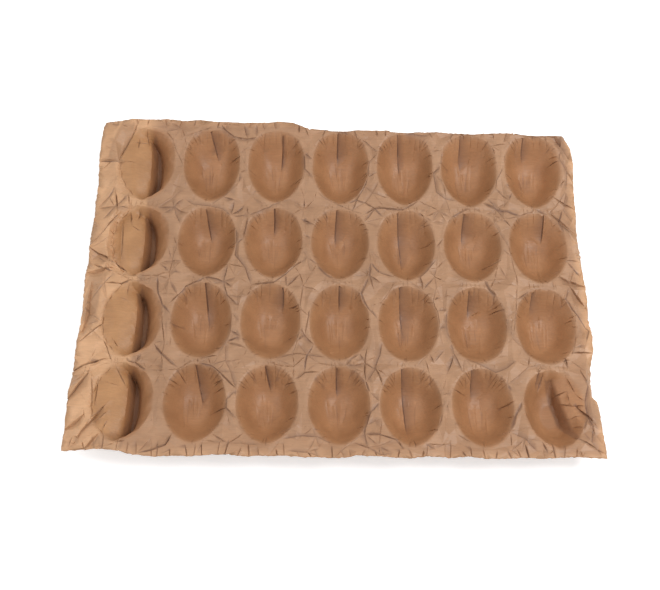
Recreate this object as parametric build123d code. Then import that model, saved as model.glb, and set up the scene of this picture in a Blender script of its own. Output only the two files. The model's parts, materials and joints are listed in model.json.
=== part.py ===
from build123d import *
import math
import os

os.makedirs("parts", exist_ok=True)

# A fruit tray: one sheet of brown kraft paper, pressed into rows of oval pockets.
# Lengths are in millimetres. +X runs along the long side, +Y to the back, +Z up.

# Pockets, long side front to back
COLUMNS = 7
ROWS = 4
POCKET_WIDTH = 46.0
POCKET_LENGTH = 64.0
POCKET_DEPTH = 20.0

# Rims: exponents of their back and front halves, from the front row to the back row;
# 2 is an ellipse, more is squarer, less is more pointed
BACK_HALF = (2.1, 2.1, 2.3, 2.6)
FRONT_HALF = (1.85, 2.1, 1.85, 1.8)

# Wall of a pocket from rim to floor: share of the rim's size, share of the depth
WALL = ((1.0, 0.0), (0.8, 0.42), (0.58, 0.8), (0.34, 1.0))
FLOOR = len(WALL) - 1

# Sheet: the paper, the lands between pockets, the borders outside the rims
PAPER_THICKNESS = 0.3
LAND_ACROSS = 7.0
LAND_ALONG = 5.0
LEFT_BORDER = 16.5
RIGHT_BORDER = 10.5
FRONT_BORDER = 9.7
BACK_BORDER = 2.8

# Edge: its waves, the slant of the front edge and its cut left corner, the flap at the
# back left, the cut back right corner, and the right edge with its bulge and its step.
# Places along the edge are counted in folds from the left and from the front
EDGE_WAVE = 1.3
FRONT_SKEW = 2.2
FRONT_CORNER_CUT = 6.5
CUT_FOLDS = 4
BACK_FLAP = 5.5
FLAP_FOLDS = 11
BACK_CORNER_CUT = 5.0
RIGHT_BULGE = 2.0
BULGE_FOLD = 7
BULGE_FOLDS = 2
RIGHT_STEP = 4.5
STEP_GAP = 3.0
STEP_FOLD = 3
DRAWN_FOLDS = 4

# Dish of the sheet: the front and back rows lean up, the side borders hang down
BACK_SLOPE = 0.14
FRONT_SLOPE = 0.10
BORDER_DROOP = 0.22
BORDER_FOLD = 4.0

# Creases: folds on each side of a pocket's cell, and how far the paper is crumpled
FOLDS_ACROSS = 4
FOLDS_ALONG = 5
CRUMPLE = 2.0
CRUMPLE_REACH = 7.0
GATHER = 0.8
WALL_CREASE = 0.7
PLEAT = 2.2

# Left column: the outer wall has popped in and bulges beside a valley, whose other wall
# has a rounded shoulder. Share of the way from rim to floor, and share of the depth;
# then, for each row, the depth of the popped wall's rim
POPPED_WALL = ((0.0, 0.0), (0.38, 0.02), (0.9, 0.24), (1.0, 1.0))
SHOULDER_WALL = ((0.0, 0.0), (0.42, 0.2), (0.8, 0.62), (1.0, 1.0))
POPPED_RIM = (0.1, 0.12, 0.36, 0.15)
VALLEY_OFFSET = 8.0
VALLEY_WIDTH = 5.0
VALLEY_LENGTH = 46.0

# Outer walls of the right column: lightly dented, and in the front row folded in as far
# as a slanting fold, whose ends are shares of the pocket's half width and half length
LIGHT_DENT = 2.5
FOLDED_WALL = ((0.0, 0.04), (0.5, 0.2), (1.0, 0.48))
SLANT_BACK = (0.05, 0.9)
SLANT_FRONT = (0.65, -0.8)
SLANT_CLEAR = 2.5

PITCH_X = POCKET_WIDTH + LAND_ACROSS
PITCH_Y = POCKET_LENGTH + LAND_ALONG
RIM_HEIGHT = POCKET_DEPTH
LAST_I = COLUMNS * FOLDS_ACROSS
LAST_J = ROWS * FOLDS_ALONG


def wobble(*place):
    """A value from -1 to 1 that is fixed for each place on the sheet."""
    weights = (12.9898, 78.233, 37.719, 93.989)
    mix = sum(weight * (number + 1) for weight, number in zip(weights, place))
    return 2 * (43758.5453 * math.sin(mix) % 1) - 1


def dish(y):
    """Height that the leaning front and back rows add at this depth of the sheet."""
    hinge = (ROWS / 2 - 1) * PITCH_Y
    return BACK_SLOPE * max(0, y - hinge) + FRONT_SLOPE * max(0, -y - hinge)


def cell_fold_ends(row, column):
    """Fold ends round one cell, counter-clockwise from its front left corner."""
    left = column * FOLDS_ACROSS
    front = row * FOLDS_ALONG
    right = left + FOLDS_ACROSS
    back = front + FOLDS_ALONG
    ends = [(i, front) for i in range(left, right)]
    ends += [(right, j) for j in range(front, back)]
    ends += [(i, back) for i in range(right, left, -1)]
    ends += [(left, j) for j in range(back, front, -1)]
    return ends


def cell_centre(row, column):
    """Plan position of a pocket's middle, from the middle of the pocket grid."""
    x = (column + 0.5 - COLUMNS / 2) * PITCH_X
    y = (row + 0.5 - ROWS / 2) * PITCH_Y
    return x, y


def fold_angle(i, j, row, column):
    """Direction of a fold end from its pocket's middle, on a cell drawn as a square."""
    across = 2 * (i / FOLDS_ACROSS - column) - 1
    along = 2 * (j / FOLDS_ALONG - row) - 1
    return math.atan2(along, across)


def oval(row, angle):
    """Point of the rim's oval, relative to the pocket's middle."""
    c = math.cos(angle)
    s = math.sin(angle)
    power = 2 / (BACK_HALF[row] if s > 0 else FRONT_HALF[row])
    x = POCKET_WIDTH / 2 * math.copysign(abs(c) ** power, c)
    y = POCKET_LENGTH / 2 * math.copysign(abs(s) ** power, s)
    return x, y


def slant_x(y):
    """Place across the pocket of the slanting fold, at this place along it."""
    back_x, back_y = SLANT_BACK
    front_x, front_y = SLANT_FRONT
    share = (y / (POCKET_LENGTH / 2) - front_y) / (back_y - front_y)
    return POCKET_WIDTH / 2 * (front_x + (back_x - front_x) * share)


def wall_point(row, column, ring, fold, angle):
    """Crease point on a pocket's wall, on the underside of the paper."""
    size, depth = WALL[ring]
    rim_x, rim_y = oval(row, angle)
    floor_size = WALL[FLOOR][0]
    floor_x = rim_x * floor_size
    floor_y = rim_y * floor_size
    inward = (1 - size) / (1 - floor_size)
    travel = inward
    facing = math.cos(angle)
    if column == 0:
        floor_x = VALLEY_OFFSET + VALLEY_WIDTH / 2 * facing
        floor_y = rim_y * VALLEY_LENGTH / POCKET_LENGTH
        side_travel, side_depth = POPPED_WALL[ring] if facing < 0 else SHOULDER_WALL[ring]
        if facing < 0 and ring == 0:
            side_depth = POPPED_RIM[row]
        travel += (side_travel - travel) * abs(facing) ** 0.5
        depth += (side_depth - depth) * abs(facing) ** 0.5
    folded = column == COLUMNS - 1 and row == 0 and rim_x > slant_x(rim_y) + SLANT_CLEAR
    if folded:
        floor_x = min(floor_x, slant_x(floor_y) - SLANT_CLEAR)
    if folded and ring < FLOOR:
        travel, depth = FOLDED_WALL[ring]
        floor_x = slant_x(rim_y)
        floor_y = rim_y
    x = rim_x + (floor_x - rim_x) * travel
    y = rim_y + (floor_y - rim_y) * travel
    z = RIM_HEIGHT - POCKET_DEPTH * depth
    if column == COLUMNS - 1 and 0 < ring < FLOOR and facing > 0 and not folded:
        x -= LIGHT_DENT * facing * (1 - inward)
    if 0 < ring < FLOOR:
        spread = 1 + WALL_CREASE / (POCKET_WIDTH / 2) * wobble(row, column, ring, fold)
        x *= spread
        y *= spread
        pleat_fold = FOLDS_ACROSS + FOLDS_ALONG + 2 + round(1.4 * wobble(row, column))
        if fold == pleat_fold:
            y -= PLEAT * (1 - inward)
    if ring == 0:
        flute = 1 if fold % 2 else -1
        z += GATHER * (0.5 * flute + 0.5 * wobble(row, column, ring, fold))
    centre_x, centre_y = cell_centre(row, column)
    return centre_x + x, centre_y + y, z


def crumple_height(distance, *place):
    """Height of a crumpled point of the web, less beside a rim."""
    return CRUMPLE * min(1, distance / CRUMPLE_REACH) * wobble(*place)


def back_border(i):
    """Border behind the back rims: a flap at the left, little more than the rims elsewhere."""
    return BACK_BORDER + (BACK_FLAP if i <= FLAP_FOLDS else 0)


def land_point(i, j):
    """Fold end on the lands between the pockets."""
    step_x = PITCH_X / FOLDS_ACROSS
    step_y = PITCH_Y / FOLDS_ALONG
    x = i * step_x - COLUMNS / 2 * PITCH_X
    y = j * step_y - ROWS / 2 * PITCH_Y
    on_side_land = i % FOLDS_ACROSS == 0
    on_end_land = j % FOLDS_ALONG == 0
    play_x = LAND_ACROSS / 5 if on_side_land else step_x / 5
    play_y = LAND_ALONG / 5 if on_end_land else step_y / 5
    room = PITCH_X / 4 if on_side_land and on_end_land else LAND_ACROSS / 2
    x += play_x * wobble(i, j, 1)
    y += play_y * wobble(i, j, 2)
    if j == LAST_J:
        y = ROWS / 2 * PITCH_Y - LAND_ALONG / 2 + min(LAND_ALONG / 2, back_border(i) / 2)
    return x, y, RIM_HEIGHT + crumple_height(room, i, j, 3)


def edge_point(i, j):
    """Point of the sheet's wavy edge, outside the fold end of an outer land."""
    x, y, z = land_point(i, j)
    wave = EDGE_WAVE * wobble(i, j, 4)
    fall = 0
    if i == 0:
        reach = LEFT_BORDER - LAND_ACROSS / 2
        x = -COLUMNS / 2 * PITCH_X - reach + wave / 2
        fall = reach
    if i == LAST_I:
        reach = RIGHT_BORDER - LAND_ACROSS / 2
        bulge = RIGHT_BULGE * math.exp(-((j - BULGE_FOLD) / BULGE_FOLDS) ** 2)
        drawn = max(0, 1 - (j - STEP_FOLD) / DRAWN_FOLDS) if j >= STEP_FOLD else 0
        x = COLUMNS / 2 * PITCH_X + reach + wave / 2 + bulge - RIGHT_STEP * drawn
        fall = reach
        if j == STEP_FOLD - 1:
            y = land_point(i, STEP_FOLD)[1] - STEP_GAP
    if j == 0:
        skew = FRONT_SKEW * (1 - 2 * i / LAST_I)
        cut = FRONT_CORNER_CUT * max(0, 1 - i / CUT_FOLDS)
        y = -ROWS / 2 * PITCH_Y - FRONT_BORDER + LAND_ALONG / 2 - skew + cut + wave
    if j == LAST_J:
        y = ROWS / 2 * PITCH_Y - LAND_ALONG / 2 + back_border(i) + wave / 2
    if i == LAST_I and j == LAST_J:
        x -= BACK_CORNER_CUT
    return x, y, z - BORDER_DROOP * fall + BORDER_FOLD * min(1, fall / CRUMPLE_REACH) * wobble(i, j, 7)


class FoldedSheet:
    """Crease points on the underside of the sheet, and the flat facets between them."""

    def __init__(self):
        self.points = {}
        self.facets = []
        self.floors = []

    def add_point(self, key, place):
        x, y, z = place
        self.points[key] = Vector(x, y, z + dish(y))

    def add_band(self, inner, outer):
        """Triangles between two rings with the same number of crease points."""
        count = len(inner)
        for k in range(count):
            n = (k + 1) % count
            self.add_quad(inner[k], outer[k], outer[n], inner[n])

    def add_quad(self, a, b, c, d):
        """Two triangles, folded along the shorter diagonal."""
        p = self.points
        if (p[a] - p[c]).length <= (p[b] - p[d]).length:
            self.facets += [(a, b, c), (a, c, d)]
        else:
            self.facets += [(a, b, d), (b, c, d)]


def add_pocket(sheet, row, column):
    """One pocket with its wall, its gathered rim and the web round it."""
    ends = cell_fold_ends(row, column)
    rings = [[("wall", row, column, ring, k) for k in range(len(ends))] for ring in range(len(WALL))]
    shoulder = [("shoulder", row, column, k) for k in range(len(ends))]
    land = [("land", i, j) for i, j in ends]
    for k, (i, j) in enumerate(ends):
        angle = fold_angle(i, j, row, column)
        for ring in range(len(WALL)):
            sheet.add_point(rings[ring][k], wall_point(row, column, ring, k, angle))
        sheet.add_point(land[k], land_point(i, j))
        rim = Vector(*wall_point(row, column, 0, k, angle))
        end = Vector(*land_point(i, j))
        middle = rim + (end - rim) * (0.5 + 0.15 * wobble(row, column, k, 5))
        lift = crumple_height((end - rim).length / 2, row, column, k, 6)
        sheet.add_point(shoulder[k], (middle.X, middle.Y, RIM_HEIGHT + lift))
    for ring in range(FLOOR):
        sheet.add_band(rings[ring + 1], rings[ring])
    sheet.add_band(rings[0], shoulder)
    sheet.add_band(shoulder, land)
    sheet.floors.append(rings[FLOOR])


def add_border(sheet):
    """The border outside the outer lands, and its edge as a closed ring of points."""
    ends = [(i, 0) for i in range(LAST_I)]
    ends += [(LAST_I, j) for j in range(LAST_J)]
    ends += [(i, LAST_J) for i in range(LAST_I, 0, -1)]
    ends += [(0, j) for j in range(LAST_J, 0, -1)]
    edge = [("edge", i, j) for i, j in ends]
    for key, (i, j) in zip(edge, ends):
        sheet.add_point(key, edge_point(i, j))
    sheet.add_band([("land", i, j) for i, j in ends], edge)
    return edge


def floor_triangles(ring):
    """A floor's triangles, in strips across the pocket."""
    left = 0
    right = len(ring) - 1
    triangles = []
    while right - left > 1:
        triangles.append((ring[left], ring[left + 1], ring[right]))
        left += 1
        if right - left > 1:
            triangles.append((ring[left], ring[right - 1], ring[right]))
            right -= 1
    return triangles


def upper_points(points, facets):
    """Top of the paper: each crease point moved along its mean normal."""
    normals = {key: Vector(0, 0, 0) for key in points}
    for a, b, c in facets:
        area = (points[b] - points[a]).cross(points[c] - points[a])
        for key in (a, b, c):
            normals[key] += area.normalized()
    return {key: points[key] + normals[key].normalized() * PAPER_THICKNESS for key in points}


def polygon(*corners):
    return Face(Wire.make_polygon(corners, close=True))


def tray_sheet():
    """The whole sheet as a closed solid, with its origin under the middle."""
    sheet = FoldedSheet()
    for row in range(ROWS):
        for column in range(COLUMNS):
            add_pocket(sheet, row, column)
    edge = add_border(sheet)
    under = sheet.points
    facets = list(sheet.facets)
    for ring in sheet.floors:
        facets += floor_triangles(ring)
    over = upper_points(under, facets)
    faces = [polygon(over[a], over[b], over[c]) for a, b, c in facets]
    faces += [polygon(under[c], under[b], under[a]) for a, b, c in sheet.facets]
    faces += [polygon(*[under[key] for key in reversed(ring)]) for ring in sheet.floors]
    for k, here in enumerate(edge):
        there = edge[(k + 1) % len(edge)]
        faces.append(polygon(under[here], under[there], over[there]))
        faces.append(polygon(under[here], over[there], over[here]))
    solid = Solid(Shell(faces))
    box = solid.bounding_box()
    return Pos(-box.center().X, -box.center().Y, -box.min.Z) * solid


export_step(tray_sheet(), "parts/tray_sheet.step", write_pcurves=False)
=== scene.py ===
import json
import math

import bpy
import numpy as np
from mathutils import Matrix, Vector
from mathutils.bvhtree import BVHTree
from mathutils.geometry import delaunay_2d_cdt


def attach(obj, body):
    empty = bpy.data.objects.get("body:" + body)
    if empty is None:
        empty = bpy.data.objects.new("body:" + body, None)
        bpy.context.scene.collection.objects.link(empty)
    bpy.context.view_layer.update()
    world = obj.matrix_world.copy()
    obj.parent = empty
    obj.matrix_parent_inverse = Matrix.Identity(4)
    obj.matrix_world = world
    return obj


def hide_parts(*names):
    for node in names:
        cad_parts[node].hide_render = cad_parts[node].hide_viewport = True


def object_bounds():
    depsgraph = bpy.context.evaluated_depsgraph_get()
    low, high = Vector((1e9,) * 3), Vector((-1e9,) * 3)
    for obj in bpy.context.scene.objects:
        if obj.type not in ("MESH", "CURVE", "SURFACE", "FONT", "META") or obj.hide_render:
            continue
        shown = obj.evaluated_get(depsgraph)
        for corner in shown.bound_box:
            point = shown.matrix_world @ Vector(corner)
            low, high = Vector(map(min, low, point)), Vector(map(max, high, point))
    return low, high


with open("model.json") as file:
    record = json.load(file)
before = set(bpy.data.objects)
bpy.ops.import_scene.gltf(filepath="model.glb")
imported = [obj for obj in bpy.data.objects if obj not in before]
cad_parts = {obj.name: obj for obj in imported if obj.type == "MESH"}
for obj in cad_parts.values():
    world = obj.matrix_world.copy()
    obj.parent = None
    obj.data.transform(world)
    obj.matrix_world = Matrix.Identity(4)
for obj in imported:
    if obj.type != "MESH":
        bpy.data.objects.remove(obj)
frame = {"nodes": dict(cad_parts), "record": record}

CAD_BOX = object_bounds()

# The tray's layout, in millimetres, as in the part
MM = 0.001
COLUMNS = 7
ROWS = 4
PITCH_X = 53.0
PITCH_Y = 69.0
POCKET_WIDTH = 46.0
POCKET_LENGTH = 64.0
BACK_HALF = (2.1, 2.1, 2.3, 2.6)
FRONT_HALF = (1.85, 2.1, 1.85, 1.8)
RIM_HEIGHT = 20.0
PAPER = 0.3
REST = frame["record"]["mounts"][0]["pos_m"]
GRID_X = REST[0] / MM
GRID_Y = REST[1] / MM + PITCH_Y / 2

# Mesh of the paper: rings of points as shares of a pocket's rim, points on the rim, spacing along the
# sheet's edge and along the folds, the distance below which two points become one, and where the web
# starts as a share of the rim
POCKET_RINGS = (1.05, 1.0, 0.96, 0.91, 0.84, 0.75, 0.65, 0.54, 0.42, 0.28, 0.12)
RIM_POINTS = 56
FEWEST_POINTS = 8
EDGE_STEP = 2.0
FOLD_STEP = 5.5
JOIN = 0.32
WEB_START = 1.02

# The sheet's edge: depth of its nicks, room at its corners, and how far out and how finely it is sought
EDGE_NICK = 0.4
CORNER_CLEAR = 1.5
BORDER_REACH = 25.0
EDGE_SEARCH = 0.2

# Rounding of the rims and of the folded-in walls: how far the height is averaged, the band at the rim
# as a share of its size, and where a left bulge turns into its valley, from the pocket's middle
RIM_ROUND = 1.9
RIM_BAND = 0.14
BULGE_ROUND = 4.0
VALLEY_ROUND = 0.9
BULGE_TURN = (-7, 1.5)
ROUND_SPOKES = 6

# The left bulges: spacing of points on their creases, how far their right edge bows and where that
# fades out, and their creased left edge as a share of the rim
BULGE_STEP = 2.1
BULGE_BOW = 4.5
BOW_PLACES = (-14, -5, 9, 20)
BULGE_EDGE = 0.97
# Line of the painted shade in the valley beside each left bulge, from the pocket's middle
VALLEY_LINE = ((2.5, 26), (6.5, 10), (6.5, -10), (3.5, -24))

# Polar grid on which a whole pocket's facets are evened out
SMOOTH_RINGS = 26
SMOOTH_SPOKES = 96
SMOOTH_TURNS = 14

# Net of creases on the web: its heights, its points on and off the rims, and the chances that a
# crease is also a strong, a middling or a faint fold
CRUMPLE = 0.7
RIM_CREASES = 13
NET_RIM = 1.025
NET_START = 1.09
NET_TRIES = 9000
NET_SPACING = (6, 11)
NET_MARGIN = 10.0
STRONG_FOLDS = 0.11
MIDDLING_FOLDS = 0.25
FAINT_FOLDS = 0.42
SHORTEST_FOLD = 2.5

# Bends, in degrees, that show as creases on the web and inside the pockets
WEB_BEND = 7.0
SOFT_BEND = 32.0

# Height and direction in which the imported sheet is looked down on
RAY_TOP = 100.0
DOWN = Vector((0, 0, -1))

# Share of the painted glow, paper painted brighter as if lit through, on the left border and at the front
# and back, and its fade;
# then where the pocket's colour starts to turn into the web's painted sheen, and over how much of the
# rim's size
LEFT_BRIGHT = 0.48
END_BRIGHT = 0.42
BRIGHT_FADE = 5.0
WEB_FADE_START = 0.92
WEB_FADE = 0.12

# Paper colours, linear; the bulge, web and border ones hold painted light, the fold one painted shade
POCKET_COLOUR = (0.41, 0.202, 0.092)
LIT_BULGE_COLOUR = (0.47, 0.245, 0.108)
SHEEN_WEB_COLOUR = (0.43, 0.245, 0.138)
LIT_BORDER_COLOUR = (0.63, 0.37, 0.2)
FOLD_SHADE_COLOUR = (0.13, 0.066, 0.046)
GLOW_COLOUR = (0.65, 0.32, 0.12)
GLOW_SHARE = 0.2
ROUGHNESS = 0.48

# Studio, in metres and watts: each light's place, diameter and power
KEY_LIGHT = ((0.58, -0.1, 0.95), 0.45, 7.5)
FILL_LIGHT = ((-0.75, -0.1, 0.9), 1.0, 4)
WORLD_STRENGTH = 0.6
FLOOR_SIZE = 6.0
FLOOR_GREY = 0.8
FLOOR_SHINE = 0.5

# Camera, fitted to the rims in the photograph: angles in degrees, lengths in millimetres
IMAGE_WIDTH = 660
FOCAL_PIXELS = 1017.0
CAMERA_ELEVATION = 62.9
CAMERA_AZIMUTH = -2.2
CAMERA_ROLL = 3.08
CAMERA_DISTANCE = 790.0
TARGET_X = -7.5
TARGET_Y = -11.8
SENSOR_WIDTH = 36.0

rng = np.random.default_rng(28)


POCKETS = [(row, column) for row in range(ROWS) for column in range(COLUMNS)]


def pocket_centre(row, column):
    x = GRID_X + (column + 0.5 - COLUMNS / 2) * PITCH_X
    y = GRID_Y + (row + 0.5 - ROWS / 2) * PITCH_Y
    return x, y


def popped(row, column):
    """Whether a pocket's outer wall is folded in, so that its creases stay as packed."""
    return column == 0 or (row == 0 and column == COLUMNS - 1)


def whole_pockets():
    """Row and column of each pocket with its walls as pressed."""
    return [pocket for pocket in POCKETS if not popped(*pocket)]


def in_pocket(row, column, x, y):
    """Plan point in a pocket, from shares of its half width and half length."""
    cx, cy = pocket_centre(row, column)
    return np.array((cx + x * (POCKET_WIDTH / 2), cy + y * (POCKET_LENGTH / 2)))


def bulge_bow(x, y):
    """How far a left bulge's right edge draws back towards its ends, so that the edge is bowed."""
    row, column, size, _ = pocket_place(x, y)
    if column > 0 or size > 1:
        return 0.0
    cx, cy = pocket_centre(row, column)
    share = (y - cy) / (POCKET_LENGTH / 2)
    return BULGE_BOW * share ** 2 * np.interp(x - cx, BOW_PLACES, (0, 1, 1, 0))


def oval(row, angle):
    """Point of a pocket's rim, relative to its middle."""
    c = math.cos(angle)
    s = math.sin(angle)
    power = 2 / (BACK_HALF[row] if s > 0 else FRONT_HALF[row])
    x = POCKET_WIDTH / 2 * math.copysign(abs(c) ** power, c)
    y = POCKET_LENGTH / 2 * math.copysign(abs(s) ** power, s)
    return x, y


def pocket_place(x, y):
    """Nearest pocket's row and column, and the place there as a share of the rim's size and an angle."""
    column = int(min(max((x - GRID_X) / PITCH_X + COLUMNS / 2, 0), COLUMNS - 1))
    row = int(min(max((y - GRID_Y) / PITCH_Y + ROWS / 2, 0), ROWS - 1))
    cx, cy = pocket_centre(row, column)
    exponent = BACK_HALF[row] if y > cy else FRONT_HALF[row]
    u = abs(x - cx) / (POCKET_WIDTH / 2)
    v = abs(y - cy) / (POCKET_LENGTH / 2)
    size = (u ** exponent + v ** exponent) ** (1 / exponent)
    half = exponent / 2
    angle = math.atan2(math.copysign(v ** half, y - cy), math.copysign(u ** half, x - cx))
    return row, column, size, angle


class Surface:
    """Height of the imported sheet's upper face, with the facets inside the pockets smoothed."""

    def __init__(self, node):
        mesh = node.data
        self.points = [v.co / MM for v in mesh.vertices]
        self.polygons = [tuple(p.vertices) for p in mesh.polygons]
        self.tree = BVHTree.FromPolygons(self.points, self.polygons)
        self.smooth = {pocket: self.smooth_pocket(*pocket) for pocket in whole_pockets()}

    def cast(self, x, y):
        """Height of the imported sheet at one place, or of its edge nearest to that place."""
        hit = self.tree.ray_cast(Vector((x, y, RAY_TOP)), DOWN)[0]
        if hit is None:
            hit = self.tree.find_nearest(Vector((x, y, RIM_HEIGHT)))[0]
        return hit.z

    def inside(self, x, y):
        return self.tree.ray_cast(Vector((x, y, RAY_TOP)), DOWN)[0] is not None

    def smooth_pocket(self, row, column):
        """Heights on a polar grid of one pocket, evened out away from its rim."""
        cx, cy = pocket_centre(row, column)
        sizes = np.linspace(0, 1, SMOOTH_RINGS)
        angles = np.linspace(0, 2 * math.pi, SMOOTH_SPOKES, endpoint=False)
        ox, oy = np.array([oval(row, angle) for angle in angles]).T
        z = np.array([[self.cast(cx + s * x, cy + s * y) for x, y in zip(ox, oy)] for s in sizes])
        for _ in range(SMOOTH_TURNS):
            around = (np.roll(z, 1, axis=1) + np.roll(z, -1, axis=1)) / 2
            across = z.copy()
            across[1:-1] = (z[:-2] + z[2:]) / 2
            mean = (around + across) / 2
            mean[0] = z[1].mean()
            mean[-1] = z[-1] * 0.6 + around[-1] * 0.4
            z = (z + mean) / 2
        return z

    def height(self, x, y):
        """Height with the rims and the folded-in walls rounded."""
        row, column, size, _ = pocket_place(x, y)
        reach = RIM_ROUND if abs(size - 1) < RIM_BAND else 0
        if popped(row, column) and size < 1:
            reach = VALLEY_ROUND
            if column == 0:
                offset = x - pocket_centre(row, column)[0]
                reach = np.interp(offset, BULGE_TURN, (BULGE_ROUND, VALLEY_ROUND))
        if reach == 0:
            return self.plain_height(x, y)
        total = 2 * self.plain_height(x, y)
        for k in range(ROUND_SPOKES):
            angle = math.pi / (ROUND_SPOKES / 2) * k
            c = reach * math.cos(angle)
            s = reach * math.sin(angle)
            total += self.plain_height(x + c, y + s) + self.plain_height(x + s / 2, y + c / 2)
        return total / (2 + 2 * ROUND_SPOKES)

    def plain_height(self, x, y):
        row, column, size, angle = pocket_place(x, y)
        if size >= 1 or popped(row, column):
            return self.cast(x + bulge_bow(x, y), y)
        z = self.smooth[row, column]
        r = size * (SMOOTH_RINGS - 1)
        a = (angle / (2 * math.pi) * SMOOTH_SPOKES) % SMOOTH_SPOKES
        r0 = min(int(r), SMOOTH_RINGS - 2)
        a0 = int(a) % SMOOTH_SPOKES
        a1 = (a0 + 1) % SMOOTH_SPOKES
        fr = r - r0
        fa = a - int(a)
        low = z[r0, a0] * (1 - fa) + z[r0, a1] * fa
        high = z[r0 + 1, a0] * (1 - fa) + z[r0 + 1, a1] * fa
        return low * (1 - fr) + high * fr


def groove(half_width, depth, dark):
    """Cross-section of a plain fold: offset, depth and painted shade at its brinks and its bottom."""
    return (-half_width, 0, 0), (0, depth, dark), (half_width, 0, 0)


def pinch(half_width, depth, dark):
    """Cross-section of a pinched fold: a ridge beside a furrow, with painted shade at the furrow's bottom.
    """
    return (-2.2 * half_width, 0, 0), (-half_width, -0.6 * depth, 0), (0, depth, dark), (half_width, 0, 0)


def tuck(width, depth, dark):
    """Cross-section of a fold with one steep side; its other side rises over a width, with painted shade
    fading up it from the bottom.
    """
    rows = [(-0.6, 0, 0), (0, depth, dark), (0.8, 0.9 * depth, 0.45 * dark), (abs(width), 0, 0)]
    if width < 0:
        rows = [(-offset, d, k) for offset, d, k in reversed(rows)]
    return tuple(rows)


def shade(low, high, dark):
    """Cross-section of a band of painted shade that stays flat, from one offset to another."""
    return (low - 1.5, 0, 0), (low, 0, dark), (high, 0, dark), (high + 2, 0, 0)


class Folds:
    """Folds in the paper: lines in plan with a cross-section, tapered or full at their ends."""

    def __init__(self):
        self.rows = []

    def add(self, a, b, section, start=0.1, end=0.1, bend=0.0):
        self.rows.append((np.array(a), np.array(b), np.array(section).T, start, end, bend))

    @staticmethod
    def taper(t, start, end):
        rise = start + (1 - start) * t / 0.35
        fall = end + (1 - end) * (1 - t) / 0.35
        return np.minimum(1, np.minimum(rise, fall)).clip(0.05, 1)

    def lines(self):
        """Each fold as rows of plan points, one row for each corner of its cross-section."""
        for a, b, (offsets, _, _), start, end, bend in self.rows:
            length = np.hypot(*(b - a))
            t = np.linspace(0, 1, max(2, round(length / FOLD_STEP)) + 1)
            side = np.array((a[1] - b[1], b[0] - a[0])) / length
            taper = self.taper(t, start, end)
            bow = bend * 4 * t * (1 - t)
            for offset in offsets:
                yield a + (b - a) * t[:, None] + side * (bow + offset * taper)[:, None]

    def press(self, plan):
        """Depth and painted shade of the folds at each plan point."""
        depth = np.zeros(len(plan))
        dark = np.zeros(len(plan))
        for a, b, (offsets, depths, darks), start, end, bend in self.rows:
            length = np.hypot(*(b - a))
            along = (b - a) / length
            t = (plan - a) @ along / length
            near = np.nonzero((t > -0.002) & (t < 1.002))[0]
            t = t[near]
            off = (plan[near] - a) @ np.array((-along[1], along[0])) - bend * 4 * t * (1 - t)
            taper = self.taper(t, start, end)
            here = np.interp(off / taper, offsets, depths) * taper
            tone = np.interp(off / taper, offsets, darks) * np.minimum(1, taper * 1.5)
            deeper = np.abs(here) > np.abs(depth[near])
            depth[near] = np.where(deeper, here, depth[near])
            dark[near] = np.maximum(dark[near], tone)
        return depth, dark


def rim_line(row, column, angle, outside, inside, swing=0.0):
    """Ends of a line square to a rim, from a distance outside it to one inside."""
    cx, cy = pocket_centre(row, column)
    rim = np.array(oval(row, angle))
    along = np.array(oval(row, angle + 0.03)) - np.array(oval(row, angle - 0.03))
    along /= np.hypot(*along)
    outward = np.array((along[1], -along[0]))
    rim += (cx, cy)
    return rim + outward * outside, rim - outward * inside + along * swing


def add_gathers(folds):
    """Short folds over the rims: fine bunches at the far side, level ones on the side walls."""
    for row, column in whole_pockets():
        bunches = [
            (rng.uniform(0.6, 0.8), rng.integers(2, 4), 0.14),
            (rng.uniform(1.9, 2.2), rng.integers(2, 6), 0.14),
            (rng.uniform(3.7, 4.1), rng.integers(1, 3), 0.2),
            (rng.uniform(4.4, 4.9), rng.integers(1, 3), 0.15),
        ]
        if row == 0:
            bunches.append((0.6, 5, 0.14))
        for first, count, step in bunches:
            for k in range(count):
                angle = first + (k + rng.uniform(-0.4, 0.4)) * step
                reach = rng.uniform(2.5, 7 if row else 10)
                a, b = rim_line(row, column, angle, rng.uniform(0, 1.5), reach, rng.uniform(-1, 1))
                section = groove(rng.uniform(0.4, 0.6), rng.uniform(0.2, 0.6), rng.uniform(0.15, 0.7))
                folds.add(a, b, section, start=0.5, end=0.05, bend=rng.uniform(-0.5, 0.5))
        cx, cy = pocket_centre(row, column)
        for side in (1, 1, 1, 1, -1, -1, -1):
            x, y = oval(row, rng.uniform(-0.8, 0.6))
            strong = rng.random() < 0.25
            reach = rng.uniform(6, 13) if strong else rng.uniform(2.5, 7)
            dark = rng.uniform(0.5, 1) if strong else rng.uniform(0.05, 0.3)
            a = (cx + side * (x + rng.uniform(-0.5, 1.5)), cy + y)
            b = (cx + side * (x - reach), cy + y + rng.uniform(-1.5, 2))
            section = pinch(rng.uniform(0.3, 0.55), rng.uniform(0.3, 0.7), dark)
            folds.add(a, b, section, 0.4, 0.05, rng.uniform(-0.8, 0.8))


def add_far_streaks(folds):
    """Fine upright folds from the far rim down the far wall."""
    for row, column in whole_pockets():
        cx, cy = pocket_centre(row, column)
        for share in np.linspace(-0.5, 0.6, 6) + rng.uniform(-0.07, 0.07, 6):
            x = cx + share * POCKET_WIDTH / 2
            power = BACK_HALF[row]
            y = cy + POCKET_LENGTH / 2 * (1 - abs(share) ** power) ** (1 / power) - 0.5
            section = groove(rng.uniform(0.35, 0.6), rng.uniform(0.2, 0.45), rng.uniform(0.05, 0.35))
            folds.add((x, y), (x + rng.uniform(-1, 1), y - rng.uniform(5, 13)), section, 0.6, 0.05)


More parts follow.
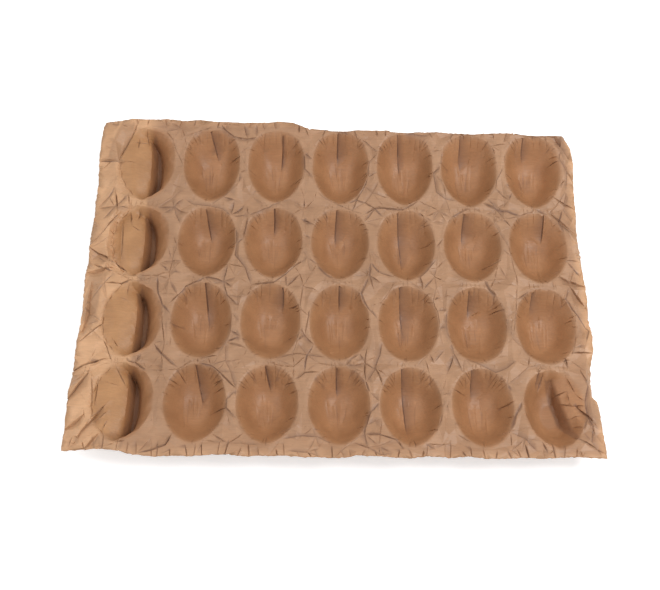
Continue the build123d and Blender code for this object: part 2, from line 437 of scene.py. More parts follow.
# Small folds on the bulges of the left column: row from the front, then the ends as shares of the
# pocket's half width and half length, half width, depth and darkness
BULGE_FOLDS = (
    (3, -0.55, 0.62, 0.0, 0.72, 0.5, 0.5, 0.5),
    (3, -0.35, 0.75, -0.38, 0.45, 0.6, 0.6, 0.6),
    (3, -0.8, 0.1, -0.35, 0.02, 0.4, 0.4, 0.35),
    (3, -0.1, 0.95, 0.0, 0.62, 0.6, 0.8, 0.8),
    (2, -0.45, 0.85, -0.38, 0.45, 0.7, 0.8, 0.75),
    (2, -0.38, 0.45, 0.02, 0.3, 0.6, 0.7, 0.6),
    (2, -0.15, 0.9, -0.2, 0.6, 0.6, 0.6, 0.6),
    (2, -0.7, 0.6, -0.6, -0.6, 0.9, 0.7, 0.6),
    (1, -0.55, 0.55, -0.15, 0.5, 0.5, 0.5, 0.5),
    (1, -0.2, 0.95, -0.25, 0.62, 0.5, 0.5, 0.5),
    (1, -0.55, -0.55, -0.35, -0.75, 0.6, 0.6, 0.5),
    (0, -0.6, 0.5, -0.1, 0.42, 0.5, 0.5, 0.4),
    (0, -0.3, 0.85, 0.05, 0.42, 0.7, 0.8, 0.7),
    (0, -0.85, 0.6, -0.85, -0.15, 0.6, 0.6, 0.6),
    (0, -0.9, -0.4, -0.45, -0.05, 0.8, 0.8, 0.6),
    (0, -0.85, -0.55, -0.4, -0.25, 0.7, 0.7, 0.5),
    (0, -0.5, -0.75, -0.35, -0.45, 0.6, 0.6, 0.5),
)


def add_bulge_folds(folds):
    """Small folds on the left column's bulges, their creased left edge and painted shade in the valley
    beside them.
    """
    for row, x0, y0, x1, y1, half_width, depth, dark in BULGE_FOLDS:
        a = in_pocket(row, 0, x0, y0)
        b = in_pocket(row, 0, x1, y1)
        folds.add(a, b, pinch(half_width, depth, dark), 0.3, 0.1, rng.uniform(-1, 1))
    for row in range(ROWS):
        middle = np.array(pocket_centre(row, 0))
        corners = [middle + BULGE_EDGE * np.array(oval(row, angle)) for angle in np.linspace(2.1, 4.2, 8)]
        for a, b in zip(corners, corners[1:]):
            section = pinch(0.5, rng.uniform(0.3, 0.7), rng.uniform(0.15, 0.55))
            folds.add(a, b, section, 0.5, 0.5, 0.6)
        for a, b in zip(VALLEY_LINE, VALLEY_LINE[1:]):
            # A flat band of painted shade along the valley
            folds.add(middle + a, middle + b, shade(-1.5, 2.5, 0.45), 1, 1)


# Folds of the dented wall at the front right: ends as shares of the half width and half length, then
# half width, depth and darkness
DENT_FOLDS = (
    (0.12, 0.45, 0.5, 0.5, 0.7, 0.8, 0.9),
    (0.5, 0.5, 0.55, 0.2, 0.5, 0.6, 0.6),
    (0.3, 0.22, 0.6, 0.12, 0.6, 0.7, 0.8),
    (0.6, 0.12, 0.95, 0.08, 0.7, 0.9, 0.95),
    (0.45, -0.18, 0.9, -0.12, 0.5, 0.6, 0.6),
    (0.5, 0.85, 0.75, 0.4, 0.6, 0.7, 0.6),
    (0.75, 0.4, 0.98, 0.2, 0.5, 0.6, 0.5),
    (0.6, -0.4, 0.8, -0.45, 0.5, 0.5, 0.5),
    (-0.25, 0.9, -0.4, 0.55, 0.6, 0.8, 0.9),
)


def add_dent_folds(folds):
    """The slanting fold of the front right pocket with a band of painted shade, and the small facets
    beyond it.
    """
    dented = (0, COLUMNS - 1)
    a = in_pocket(*dented, 0.1, 0.85)
    b = in_pocket(*dented, 0.68, -0.75)
    # A flat band of painted shade beside the slanting fold
    folds.add(a, b, shade(-5.5, -1, 0.42), 1, 0.5)
    for x0, y0, x1, y1, half_width, depth, dark in DENT_FOLDS:
        a = in_pocket(*dented, x0, y0)
        b = in_pocket(*dented, x1, y1)
        folds.add(a, b, pinch(half_width, depth, dark), 0.4, 0.2, rng.uniform(-0.6, 0.6))


def add_floor_lines(folds):
    """Ridges and furrows along each pocket's floor, spreading towards the far wall."""
    for row, column in whole_pockets():
        cx, cy = pocket_centre(row, column)
        for x in np.linspace(-9, 5, 7):
            x0 = cx + x + rng.uniform(-0.8, 0.8)
            top = cy + rng.uniform(4, 15)
            low = top - rng.uniform(9, 26)
            x1 = x0 - 0.3 * (x0 - cx) + rng.uniform(-1, 1)
            width = rng.uniform(0.6, 1.2)
            if rng.random() < 0.55:
                section = groove(width, -0.4, 0)
            else:
                section = groove(width, 0.3, rng.uniform(0.1, 0.4))
            folds.add((x0, top), (x1, low), section, bend=rng.uniform(-0.8, 0.8))


def add_land_wrinkles(folds):
    """Small wrinkles across the narrow lands between one pocket and the next behind it."""
    for row in range(ROWS - 1):
        for column in range(COLUMNS):
            cx, cy = pocket_centre(row, column)
            y = cy + PITCH_Y / 2
            for x in np.arange(-10, 11, 3.4):
                x0 = cx + x + rng.uniform(-0.8, 0.8)
                bow = 0.012 * x * x
                section = groove(rng.uniform(0.4, 0.8), rng.uniform(0.2, 0.5), rng.uniform(0.05, 0.3))
                folds.add((x0, y - 3.2 - bow), (x0 + rng.uniform(-1, 1), y + 1.5 + bow), section)


# Tucks from the far rim down the far wall: row from the front and column, then the ends as
# shares of the pocket's half width and half length, and the width of the tuck's sloping side
TUCKS = {
    (3, 1): (-0.09, 0.95, 0.19, 0.4, 9),
    (3, 2): (0.2, 0.9, 0.15, 0.2, 4),
    (3, 3): (-0.11, 0.97, -0.1, 0.38, 9),
    (3, 4): (-0.25, 0.97, -0.14, 0.15, 6),
    (3, 5): (-0.27, 0.97, -0.2, 0.3, 10),
    (3, 6): (-0.3, 0.95, -0.25, 0.5, 8),
    (2, 1): (-0.1, 0.9, 0.1, 0.25, 8),
    (2, 2): (-0.02, 0.97, -0.02, 0.45, 6),
    (2, 3): (-0.12, 0.95, -0.15, 0.2, 9),
    (2, 4): (-0.27, 0.9, -0.11, -0.5, 10),
    (2, 5): (-0.22, 0.93, -0.23, 0.3, 12),
    (2, 6): (0.3, 0.93, 0.28, 0.4, -10),
    (1, 1): (0.05, 0.97, 0.22, -0.05, 9),
    (1, 2): (0.38, 0.9, 0.38, 0.42, -11),
    (1, 3): (-0.02, 0.95, 0.0, 0.45, 8),
    (1, 4): (-0.26, 0.95, -0.1, -0.35, 11),
    (1, 5): (-0.2, 0.9, -0.21, 0.4, 11),
    (1, 6): (-0.33, 0.9, -0.38, 0.45, 8),
    (0, 1): (-0.05, 0.93, 0.22, 0.1, 9),
    (0, 2): (-0.1, 0.95, 0.1, 0.45, 5),
    (0, 3): (-0.08, 0.93, -0.05, 0.38, 6),
    (0, 4): (-0.27, 0.95, -0.1, -0.65, 10),
    (0, 5): (-0.28, 0.95, -0.26, 0.35, 10),
    (0, 6): (-0.4, 0.9, -0.45, 0.6, 5),
}


def add_tucks(folds):
    """The long fold down the far wall of most pockets."""
    for pocket, (x0, y0, x1, y1, width) in TUCKS.items():
        a = in_pocket(*pocket, x0, y0)
        b = in_pocket(*pocket, x1, y1)
        folds.add(a, b, tuck(width, 1.3, 1.0), start=0.7, end=0.05, bend=rng.uniform(-0.6, 0.6))


def on_web(surface, spots):
    """Whether all of some plan points lie on the sheet between the pockets."""
    return all(pocket_place(*spot)[2] > 1 and surface.inside(*spot) for spot in spots)


def on_border(x):
    """Whether a plan point lies on the border at the left or the right."""
    return abs(x - GRID_X) > COLUMNS / 2 * PITCH_X + 2


class Crumple:
    """A net of creases over the web: points with small heights, joined by straight creases."""

    def __init__(self, surface):
        low, high = CAD_BOX
        spots = []
        for row, column in POCKETS:
            cx, cy = pocket_centre(row, column)
            for k in range(RIM_CREASES):
                x, y = oval(row, 2 * math.pi * (k + rng.uniform(0.1, 0.9)) / RIM_CREASES)
                spots.append((cx + x * NET_RIM, cy + y * NET_RIM, 0))
        margin = NET_MARGIN * MM
        for _ in range(NET_TRIES):
            x = rng.uniform(low.x - margin, high.x + margin) / MM
            y = rng.uniform(low.y - margin, high.y + margin) / MM
            if pocket_place(x, y)[2] < NET_START:
                continue
            if min((x - p[0]) ** 2 + (y - p[1]) ** 2 for p in spots) > rng.uniform(*NET_SPACING) ** 2:
                spots.append((x, y, rng.uniform(-CRUMPLE, CRUMPLE)))
        self.spots = np.array(spots)
        result = delaunay_2d_cdt([Vector(p[:2]) for p in spots], [], [], 0, 0.01)
        order = [k[0] for k in result[3]]
        self.edges = []
        for a, b in result[1]:
            p = self.spots[order[a]][:2]
            q = self.spots[order[b]][:2]
            if on_web(surface, [p + (q - p) * t for t in (0, 0.25, 0.5, 0.75, 1)]):
                self.edges.append((order[a], order[b]))
        points = [Vector(p) for p in spots]
        self.tree = BVHTree.FromPolygons(points, [tuple(order[k] for k in face) for face in result[2]])

    def height(self, x, y):
        """Height that the net adds at one place."""
        if pocket_place(x, y)[2] < 1.0:
            return 0
        hit = self.tree.ray_cast(Vector((x, y, RAY_TOP)), DOWN)[0]
        return hit.z if hit else 0

    def chain(self, start, free):
        """A run of creases from a first one, each going on with little turn."""
        run = [start]
        free.discard(start)
        while len(run) < 4 and rng.random() < 0.75:
            here = run[-1][1]
            here_way = self.spots[here][:2] - self.spots[run[-1][0]][:2]
            best = None
            for a, b in free:
                if here not in (a, b):
                    continue
                there = b if a == here else a
                way = self.spots[there][:2] - self.spots[here][:2]
                turn = way @ here_way / (np.hypot(*way) * np.hypot(*here_way))
                if turn > 0.6 and (best is None or turn > best[0]):
                    best = (turn, there, (a, b))
            if best is None:
                break
            free.discard(best[2])
            run.append((here, best[1]))
        return run

    def add_folds(self, folds):
        """Pinched folds with painted shade along runs of the creases."""
        free = set(self.edges)
        for edge in self.edges:
            if edge not in free:
                continue
            chance = rng.random()
            if chance < STRONG_FOLDS:
                sizes = ((0.8, 1.6), (0.5, 0.9), (0.7, 1.0))
            elif chance < MIDDLING_FOLDS:
                sizes = ((0.45, 0.7), (0.35, 0.6), (0.25, 0.6))
            elif chance < FAINT_FOLDS:
                sizes = ((0.3, 0.5), (0.15, 0.3), (0.1, 0.3))
            else:
                continue
            width, depth, dark = (rng.uniform(*size) for size in sizes)
            run = self.chain(edge, free) if chance < MIDDLING_FOLDS else [edge]
            slope = rng.choice((0, 0, 0, -1, 1)) * rng.uniform(2.5, 4.5)
            for k, (a, b) in enumerate(run):
                p = self.spots[a][:2]
                q = self.spots[b][:2]
                bordering = on_border(p[0]) and on_border(q[0])
                if np.hypot(*(q - p)) < SHORTEST_FOLD or (bordering and chance > STRONG_FOLDS):
                    continue
                first = 0.1 if k == 0 else 0.8
                last = 0.1 if k == len(run) - 1 else 0.8
                tone = dark * rng.uniform(0.6, 1)
                if slope:
                    section = tuck(slope, 1.3 * depth, tone)
                else:
                    kind = pinch if rng.random() < 0.6 else groove
                    section = kind(width * rng.uniform(0.6, 1.2), depth, tone)
                folds.add(p, q, section, first, last, rng.uniform(-0.5, 0.5))


# Folds of the side borders, in mm from the middle of the pockets: ends, width of the sloping
# side (to the left of the fold's run, or to the right if negative), depth and darkness
BORDER_TUCKS = (
    (-168.6, 140.6, -181.9, 108.7, -11, 2.0, 0.3),
    (-197.4, 105.8, -178.5, 105.1, 5, 1.5, 0.9),
    (-197.4, 25.7, -178.2, 15.1, -8, 1.6, 0.5),
    (-197.0, 5.0, -179.5, 9.4, -10, 2.0, 0.3),
    (-192.7, -6.5, -195.8, -45.9, 11, 2.0, 0.4),
    (-198.5, -103.1, -185.9, -79.7, -6, 1.5, 0.7),
    (-197.8, -126.5, -184.8, -115.1, -6, 1.5, 0.4),
    (-189.9, -137.2, -172.7, -108.8, -7, 1.6, 0.45),
    (-182.0, -142.0, -173.6, -130.0, -8, 1.5, 0.4),
    (178.9, 135.6, 189.9, 115.3, 5, 1.8, 0.9),
    (182.4, 115.1, 191.3, 95.7, 5, 1.2, 0.5),
    (169.6, 69.0, 186.7, 51.3, -5, 1.0, 0.3),
    (173.4, 8.8, 191.7, -1.0, -7, 1.4, 0.4),
    (180.6, -0.4, 191.8, -18.6, -7, 1.6, 0.4),
    (174.9, -99.9, 188.6, -117.2, -6, 1.5, 0.6),
    (179.5, -108.1, 189.6, -130.2, 6, 1.4, 0.4),
)

# The same for pinched folds, with their half width
BORDER_PINCHES = (
    (-176.9, 61.7, -192.4, 35.1, 0.6, 0.5, 0.6),
    (-178.7, 15.7, -167.3, 6.8, 0.9, 0.9, 1.0),
    (-182.6, 79.0, -179.4, 61.0, 0.8, 0.8, 0.7),
    (-184.0, 8.7, -177.7, 5.7, 1.2, 0.9, 0.9),
    (-195.2, -55.5, -180.6, -39.1, 1.0, 1.0, 0.8),
    (-199.2, -79.4, -175.9, -69.2, 1.2, 1.2, 0.8),
    (-183.0, -83.9, -180.1, -108.9, 0.6, 0.5, 0.4),
    (174.6, 81.6, 189.7, 71.7, 0.7, 0.6, 0.6),
    (174.4, 64.3, 190.5, 41.8, 0.8, 0.8, 0.85),
    (176.8, 22.7, 191.1, 23.1, 0.6, 0.4, 0.5),
    (177.1, -56.9, 192.2, -56.5, 0.6, 0.6, 0.6),
    (170.8, -61.2, 172.9, -69.6, 0.9, 0.8, 0.95),
    (181.7, -72.1, 187.4, -87.6, 0.7, 0.6, 0.6),
    (171.6, -126.6, 190.4, -138.2, 0.8, 0.8, 0.8),
)


# Border facets painted with shade, as if turned away from the light: ends of a line along the facet, its
# reach to both sides, darkness
BORDER_SHADES = (
    (-176.6, 141.0, -186.1, 108.0, -6, 5, 0.3),
    (-189.0, -4.1, -192.4, -38.3, -5, 4, 0.28),
    (-164.8, -127.9, -162.0, -142.6, -8, 8, 0.28),
    (-186.2, 6.4, -192.3, -10.0, -6, 5, 0.25),
    (185.6, -97.6, 189.6, -117.2, -3.5, 3.5, 0.3),
    (180.0, 136.2, 190.3, 113.0, -3, 4, 0.25),
)


def add_border_folds(folds, surface):
    """Folds of the side borders, and upright folds along the front and back edges."""
    middle = np.array((GRID_X, GRID_Y))
    for table, kind in ((BORDER_TUCKS, tuck), (BORDER_PINCHES, pinch)):
        for x0, y0, x1, y1, width, depth, dark in table:
            folds.add(middle + (x0, y0), middle + (x1, y1), kind(width, 1.6 * depth, dark), 0.4, 0.4)
    # Flat bands of painted shade on the border facets
    for x0, y0, x1, y1, low, high, dark in BORDER_SHADES:
        folds.add(middle + (x0, y0), middle + (x1, y1), shade(low, high, dark), 0.8, 0.8)
    for outward, spacing, longest in ((-1, 8, 13), (1, 13, 8)):
        for x in np.arange(-180, 181, spacing) + rng.uniform(-3, 3):
            x += rng.uniform(-0.35, 0.35) * spacing
            reach = np.arange(160, 120, -0.5)
            found = [y for y in reach if surface.inside(GRID_X + x, GRID_Y + outward * y)]
            if not found:
                continue
            a = middle + (x, outward * (found[0] - 0.8))
            b = a - (rng.uniform(-3, 3), outward * rng.uniform(3.5, longest))
            if rng.random() < 0.4:
                section = tuck(rng.choice((-4.5, 4.5)), rng.uniform(0.6, 1.2), rng.uniform(0.2, 0.5))
            else:
                section = pinch(rng.uniform(0.5, 0.9), rng.uniform(0.4, 0.8), rng.uniform(0.2, 0.9))
            folds.add(a, b, section, 0.8, 0.05)


def sheet_outline(surface):
    """Plan points along the sheet's edge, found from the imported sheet, with small nicks."""
    right = COLUMNS / 2 * PITCH_X
    back = ROWS / 2 * PITCH_Y - 2
    far_x = right + BORDER_REACH
    far_y = back + BORDER_REACH
    sides = (
        ((-far_x, -back), (far_x, -back), (0, -1)),
        ((right, -far_y), (right, far_y), (1, 0)),
        ((far_x, back), (-far_x, back), (0, 1)),
        ((-right, far_y), (-right, -far_y), (-1, 0)),
    )
    middle = np.array((GRID_X, GRID_Y))
    edge = []
    for start, end, outward in sides:
        start = np.array(start)
        way = np.array(end) - start
        count = round(np.hypot(*way) / EDGE_STEP)
        for n in range(count):
            place = middle + start + way * n / count
            if not surface.inside(*place):
                continue
            reach = 0
            while surface.inside(*(place + np.array(outward) * (reach + EDGE_SEARCH))):
                reach += EDGE_SEARCH
            place = place + np.array(outward) * (reach + EDGE_NICK * rng.uniform(-1, 0.6))
            if not edge or np.hypot(*(place - edge[-1])) > CORNER_CLEAR:
                edge.append(place)
    if np.hypot(*(edge[0] - edge[-1])) < CORNER_CLEAR:
        edge.pop()
    return np.array(edge)


def crease_lines(surface):
    """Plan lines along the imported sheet's creases, on the web and in the folded-in pockets."""
    edges = set()
    for polygon in surface.polygons:
        a, b, c = (surface.points[k] for k in polygon)
        if (b - a).cross(c - a).z <= 0:
            continue
        spots = [(round(p.x, 3), round(p.y, 3)) for p in (a, b, c)]
        for k in range(3):
            edges.add(tuple(sorted((spots[k - 1], spots[k]))))
    for edge in sorted(edges):
        places = [pocket_place(*spot) for spot in edge]
        if all(size > WEB_START for _, _, size, _ in places):
            yield np.array(edge)
        elif all(size > WEB_START or popped(row, column) for row, column, size, _ in places):
            count = max(1, round(math.dist(*edge) / BULGE_STEP))
            line = np.linspace(*edge, count + 1)
            bowed = line.copy()
            for _ in range(4):
                bowed[:, 0] = line[:, 0] - [bulge_bow(x, y) for x, y in bowed]
            yield bowed


def paper_plan(surface, folds, crumple):
    """The sheet in plan as triangles, with edges along the rims, the creases and the folds."""
    points = []
    lines = []

    def add(plan, closed=False, linked=True):
        first = len(points)
        points.extend(Vector(place) for place in plan)
        last = len(points) - 1
        if linked:
            lines.extend((k, k + 1) for k in range(first, last))
        if closed:
            lines.append((last, first))

    edge = sheet_outline(surface)
    add(edge, closed=True)
    for row, column in POCKETS:
        centre = np.array(pocket_centre(row, column))
        for ring in POCKET_RINGS:
            if ring < 1 and popped(row, column):
                continue
            count = max(FEWEST_POINTS, round(RIM_POINTS * ring))
            turn = rng.uniform(0, 1)
            angles = 2 * math.pi * (np.arange(count) + turn) / count
            if ring != 1:
                angles += rng.uniform(-0.25, 0.25, count) * 2 * math.pi / count
            loop = centre + ring * np.array([oval(row, angle) for angle in angles])
            if ring > 1:
                clear = [spot for spot in loop if pocket_place(*spot)[2] > WEB_START]
                loop = [spot for spot in clear if surface.inside(*spot)]
            add(loop, closed=ring == 1, linked=ring == 1)
    for line in crease_lines(surface):
        add(line)
    for a, b in crumple.edges:
        add(crumple.spots[[a, b], :2])
    for line in folds.lines():
        add(line)
    loop = list(range(len(edge)))
    result = delaunay_2d_cdt(points, lines, [loop], 1, JOIN)
    plan = np.array([tuple(p) for p in result[0]])
    triangles = np.array(result[2])
    triangles = triangles[within(plan[triangles].mean(axis=1), edge)]
    used, names = np.unique(triangles, return_inverse=True)
    return plan[used], names.reshape(-1, 3)


def within(places, loop):
    """Which plan places lie inside a closed loop of points."""
    odd = np.zeros(len(places), bool)
    x, y = places.T
    for (x0, y0), (x1, y1) in zip(loop, np.roll(loop, -1, axis=0)):
        if y0 != y1:
            odd ^= ((y0 > y) != (y1 > y)) & (x < x0 + (y - y0) * (x1 - x0) / (y1 - y0))
    return odd


def face_normals(points, triangles):
    a, b, c = (points[triangles[:, k]] for k in range(3))
    face = np.cross(b - a, c - a)
    return face / (np.linalg.norm(face, axis=1, keepdims=True) + 1e-12)


def sharp_edges(mesh, points, triangles, soft):
    """Marks creases: any real bend on the web, only strong bends where the paper is soft."""
    face = face_normals(points, triangles)
    pairs = np.concatenate([np.sort(triangles[:, [k, (k + 1) % 3]], axis=1) for k in range(3)])
    owners = np.tile(np.arange(len(triangles)), 3)
    order = np.lexsort((pairs[:, 1], pairs[:, 0]))
    pairs = pairs[order]
    owners = owners[order]
    twin = np.all(pairs[1:] == pairs[:-1], axis=1)
    first = np.nonzero(twin)[0]
    bend = np.degrees(np.arccos((face[owners[first]] * face[owners[first + 1]]).sum(axis=1).clip(-1, 1)))
    ends = pairs[first]
    limit = np.where(soft[ends].any(axis=1), SOFT_BEND, WEB_BEND)
    sharp = ends[bend > limit]
    keys = set(map(tuple, sharp.tolist()))
    count = len(points)
    marks = []
    for edge in mesh.edges:
        p, q = sorted(edge.vertices)
        if (p < count) != (q < count):
            marks.append(True)
        else:
            marks.append((p % count, q % count) in keys)
    layer = mesh.attributes.new("sharp_edge", "BOOLEAN", "EDGE")
    layer.data.foreach_set("value", np.array(marks))


def vertex_normals(points, triangles):
    """Mean normal of the triangles round each point."""
    face = face_normals(points, triangles)
    normals = np.zeros_like(points)
    for k in range(3):
        np.add.at(normals, triangles[:, k], face)
    return normals / (np.linalg.norm(normals, axis=1, keepdims=True) + 1e-12)


def painted_glow_share(plan):
    """How much each plan point gets the painted glow of the borders and of the bulges beside them: paper
    painted brighter and warmer, as if lit through.
    """
    x = plan[:, 0] - GRID_X
    y = plan[:, 1] - GRID_Y
    right = COLUMNS / 2 * PITCH_X
    sides = ((np.abs(x) - right) / BRIGHT_FADE).clip(0, 1)
    ends = ((np.abs(y) - ROWS / 2 * PITCH_Y) / BRIGHT_FADE).clip(0, 1)
    bulge = np.interp(x + right - PITCH_X / 2, (-20, 1, 4), (1, 1, 0))
    return np.maximum(np.where(x > 0, 1, LEFT_BRIGHT) * sides, np.maximum(END_BRIGHT * ends, bulge))


def press_folds(surface):
    """The upper and lower face's points of the folded sheet, their zones and the triangles of a face."""
    folds = Folds()
    crumple = Crumple(surface)
    add_gathers(folds)
    add_floor_lines(folds)
    add_far_streaks(folds)
    add_land_wrinkles(folds)
    add_tucks(folds)
    add_bulge_folds(folds)
    add_dent_folds(folds)
    add_border_folds(folds, surface)
    crumple.add_folds(folds)
    plan, triangles = paper_plan(surface, folds, crumple)
    depth, dark = folds.press(plan)
    z = np.array([surface.height(x, y) + crumple.height(x, y) for x, y in plan])
    upper = np.column_stack((plan, z))
    upper -= vertex_normals(upper, triangles) * depth[:, None]
    upper[:, 2] = np.maximum(upper[:, 2], PAPER)
    lower = upper - vertex_normals(upper, triangles) * PAPER
    lower[:, 2] = np.maximum(lower[:, 2], 0)
    rim_shares = np.array([pocket_place(x, y)[2] for x, y in plan])
    web = ((rim_shares - WEB_FADE_START) / WEB_FADE).clip(0, 1)
    # Zones: painted shade of the folds, share of the web with its painted sheen, share of the painted glow
    zones = np.column_stack((dark, web, painted_glow_share(plan)))
    return upper, lower, zones, triangles


def closed_faces(triangles, count):
    """Faces of both sides of the sheet and of the narrow edge that joins them."""
    sides = dict.fromkeys(edge for a, b, c in triangles.tolist() for edge in ((a, b), (b, c), (c, a)))
    rim = [edge for edge in sides if edge[::-1] not in sides]
    faces = triangles.tolist()
    faces += (triangles[:, ::-1] + count).tolist()
    faces += [(b, a, a + count, b + count) for a, b in rim]
    return faces


def make_paper(surface):
    """The whole sheet as one closed mesh of creased paper."""
    upper, lower, zones, triangles = press_folds(surface)
    points = np.concatenate((upper, lower)) * MM
    mesh = bpy.data.meshes.new("kraft_paper_sheet")
    mesh.from_pydata(points.tolist(), [], closed_faces(triangles, len(upper)))
    mesh.polygons.foreach_set("use_smooth", np.ones(len(mesh.polygons), bool))
    layer = mesh.attributes.new("zones", "FLOAT_VECTOR", "POINT")
    layer.data.foreach_set("vector", np.tile(zones, (2, 1)).ravel())
    sharp_edges(mesh, upper, triangles, zones[:, 1] < 0.5)
    mesh.update()
    paper = bpy.data.objects.new("kraft_paper_sheet", mesh)
    bpy.context.scene.collection.objects.link(paper)
    return paper


def mix_colour(tree, factor, first, second):
    """Mix of two colours, each a plain colour or another node's output."""
    node = tree.nodes.new("ShaderNodeMix")
    node.data_type = "RGBA"
    for socket, value in ((node.inputs[6], first), (node.inputs[7], second)):
        if isinstance(value, tuple):
            socket.default_value = (*value, 1)
        else:
            tree.links.new(value, socket)
    tree.links.new(factor, node.inputs[0])
    return node.outputs[2]


def multiply(tree, first, second):
    """Product of two nodes' colours."""
    node = tree.nodes.new("ShaderNodeMix")
    node.data_type = "RGBA"
    node.blend_type = "MULTIPLY"
    node.inputs[0].default_value = 1
    tree.links.new(first, node.inputs[6])
    tree.links.new(second, node.inputs[7])
    return node.outputs[2]


def noise(tree, coordinates, stretch, scale, detail, low, high):
    """Noise over the sheet, stretched along an axis, as a value from 0 to 1."""
    mapping = tree.nodes.new("ShaderNodeMapping")
    mapping.inputs["Scale"].default_value = stretch
    texture = tree.nodes.new("ShaderNodeTexNoise")
    texture.inputs["Scale"].default_value = scale
    texture.inputs["Detail"].default_value = detail
    ramp = tree.nodes.new("ShaderNodeMapRange")
    ramp.inputs["From Min"].default_value = low
    ramp.inputs["From Max"].default_value = high
    tree.links.new(coordinates, mapping.inputs["Vector"])
    tree.links.new(mapping.outputs["Vector"], texture.inputs["Vector"])
    tree.links.new(texture.outputs["Fac"], ramp.inputs["Value"])
    return ramp.outputs["Result"]


def paper_material():
    """Brown kraft paper, mottled and fibrous, with painted sheen that makes the web greyer, a painted glow
    on the borders and bulges, and painted shade along its folds.
    """
    material = bpy.data.materials.new("kraft_paper")
    material.use_nodes = True
    tree = material.node_tree
    shader = tree.nodes["Principled BSDF"]
    shader.inputs["Roughness"].default_value = ROUGHNESS
    shader.inputs["Specular IOR Level"].default_value = 0.5
    zones = tree.nodes.new("ShaderNodeAttribute")
    zones.attribute_name = "zones"
    parts = tree.nodes.new("ShaderNodeSeparateXYZ")
    tree.links.new(zones.outputs["Vector"], parts.inputs[0])
    coordinates = tree.nodes.new("ShaderNodeTexCoord").outputs["Object"]
    # Painted glow: the bulges and borders take brighter, warmer paper colours, as if lit through
    inner = mix_colour(tree, parts.outputs["Z"], POCKET_COLOUR, LIT_BULGE_COLOUR)
    outer = mix_colour(tree, parts.outputs["Z"], SHEEN_WEB_COLOUR, LIT_BORDER_COLOUR)
    # Painted sheen: the web takes a lighter, greyer paper colour than the pockets
    edged = mix_colour(tree, parts.outputs["Y"], inner, outer)
    mottle = noise(tree, coordinates, (1, 1, 1), 60, 4, 0.35, 0.65)
    dim = mix_colour(tree, mottle, (0.9, 0.88, 0.86), (1.08, 1.09, 1.1))
    fibre = noise(tree, coordinates, (0.12, 1, 1), 900, 2, 0.35, 0.65)
    grain = mix_colour(tree, fibre, (0.95, 0.95, 0.95), (1.05, 1.05, 1.05))
    spotted = multiply(tree, edged, dim)
    lined = multiply(tree, spotted, grain)
    # Painted shade in the folds: the colour turns towards dark brown by the folds' painted darkness
    folded = mix_colour(tree, parts.outputs["X"], lined, FOLD_SHADE_COLOUR)
    tree.links.new(folded, shader.inputs["Base Color"])
    bump = tree.nodes.new("ShaderNodeBump")
    bump.inputs["Strength"].default_value = 0.15
    bump.inputs["Distance"].default_value = 0.0005
    tree.links.new(fibre, bump.inputs["Height"])
    tree.links.new(bump.outputs["Normal"], shader.inputs["Normal"])
    glow = tree.nodes.new("ShaderNodeBsdfTranslucent")
    glow.inputs["Color"].default_value = (*GLOW_COLOUR, 1)
    both = tree.nodes.new("ShaderNodeMixShader")
    both.inputs[0].default_value = GLOW_SHARE
    tree.links.new(shader.outputs["BSDF"], both.inputs[1])
    tree.links.new(glow.outputs["BSDF"], both.inputs[2])
    tree.links.new(both.outputs[0], tree.nodes["Material Output"].inputs["Surface"])
    return material


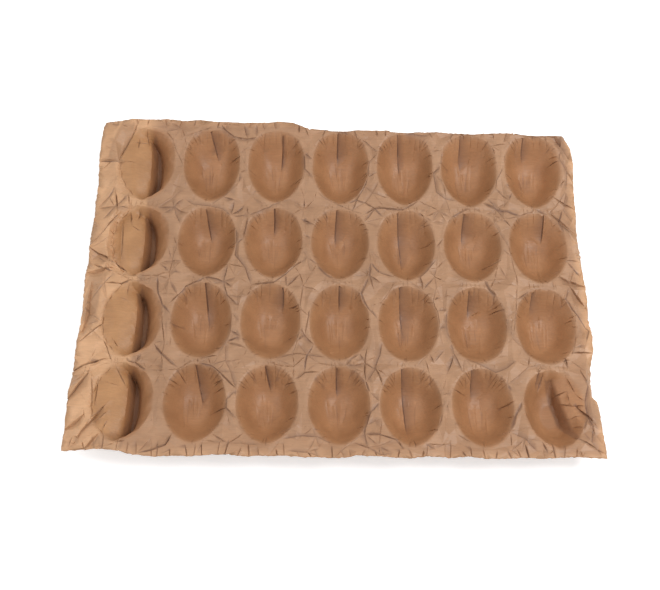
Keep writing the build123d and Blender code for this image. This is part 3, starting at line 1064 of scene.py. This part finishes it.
def make_floor():
    """A pale floor that shows white and keeps the shadow."""
    mesh = bpy.data.meshes.new("floor")
    h = FLOOR_SIZE / 2
    mesh.from_pydata([(-h, -h, 0), (h, -h, 0), (h, h, 0), (-h, h, 0)], [], [(0, 1, 2, 3)])
    floor = bpy.data.objects.new("floor", mesh)
    bpy.context.scene.collection.objects.link(floor)
    material = bpy.data.materials.new("floor")
    material.use_nodes = True
    tree = material.node_tree
    shader = tree.nodes["Principled BSDF"]
    shader.inputs["Base Color"].default_value = (FLOOR_GREY, FLOOR_GREY, FLOOR_GREY, 1)
    shader.inputs["Roughness"].default_value = 0.9
    rays = tree.nodes.new("ShaderNodeLightPath")
    seen = rays.outputs["Is Camera Ray"]
    for name in ("Is Glossy Ray", "Is Transmission Ray"):
        either = tree.nodes.new("ShaderNodeMath")
        either.operation = "ADD"
        tree.links.new(seen, either.inputs[0])
        tree.links.new(rays.outputs[name], either.inputs[1])
        seen = either.outputs[0]
    shine = tree.nodes.new("ShaderNodeMath")
    shine.operation = "MULTIPLY"
    shine.inputs[1].default_value = FLOOR_SHINE
    tree.links.new(seen, shine.inputs[0])
    shader.inputs["Emission Color"].default_value = (1, 1, 1, 1)
    tree.links.new(shine.outputs[0], shader.inputs["Emission Strength"])
    mesh.materials.append(material)


def make_light(name, place, size, power):
    """A round soft light, turned to the middle of the tray."""
    data = bpy.data.lights.new(name, "AREA")
    data.shape = "DISK"
    data.size = size
    data.energy = power
    lamp = bpy.data.objects.new(name, data)
    bpy.context.scene.collection.objects.link(lamp)
    lamp.location = place
    lamp.rotation_euler = (-Vector(place)).to_track_quat("-Z", "Y").to_euler()


def make_camera():
    """The photograph's view: a camera turned round its target, then rolled."""
    el = math.radians(CAMERA_ELEVATION)
    az = math.radians(CAMERA_AZIMUTH)
    roll = math.radians(CAMERA_ROLL)
    back = Vector((math.sin(az) * math.cos(el), -math.cos(az) * math.cos(el), math.sin(el)))
    right = Vector((math.cos(az), math.sin(az), 0))
    up = back.cross(right)
    turned = right * math.cos(roll) + up * math.sin(roll)
    up = up * math.cos(roll) - right * math.sin(roll)
    target = Vector((GRID_X + TARGET_X, GRID_Y + TARGET_Y, RIM_HEIGHT)) * MM
    data = bpy.data.cameras.new("camera")
    data.sensor_width = SENSOR_WIDTH
    data.lens = FOCAL_PIXELS / IMAGE_WIDTH * SENSOR_WIDTH
    camera = bpy.data.objects.new("camera", data)
    bpy.context.scene.collection.objects.link(camera)
    axes = Matrix((turned, up, back)).transposed().to_4x4()
    camera.matrix_world = Matrix.Translation(target + back * CAMERA_DISTANCE * MM) @ axes
    bpy.context.scene.camera = camera


surface = Surface(frame["nodes"]["tray_sheet"])
paper = make_paper(surface)
paper.data.materials.append(paper_material())
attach(paper, "root")
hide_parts("tray_sheet")
make_floor()
make_light("key", *KEY_LIGHT)
make_light("fill", *FILL_LIGHT)
make_camera()

world = bpy.data.worlds.new("studio")
bpy.context.scene.world = world
world.use_nodes = True
world.node_tree.nodes["Background"].inputs["Color"].default_value = (1, 1, 1, 1)
world.node_tree.nodes["Background"].inputs["Strength"].default_value = WORLD_STRENGTH
bpy.context.scene.view_settings.view_transform = "Standard"
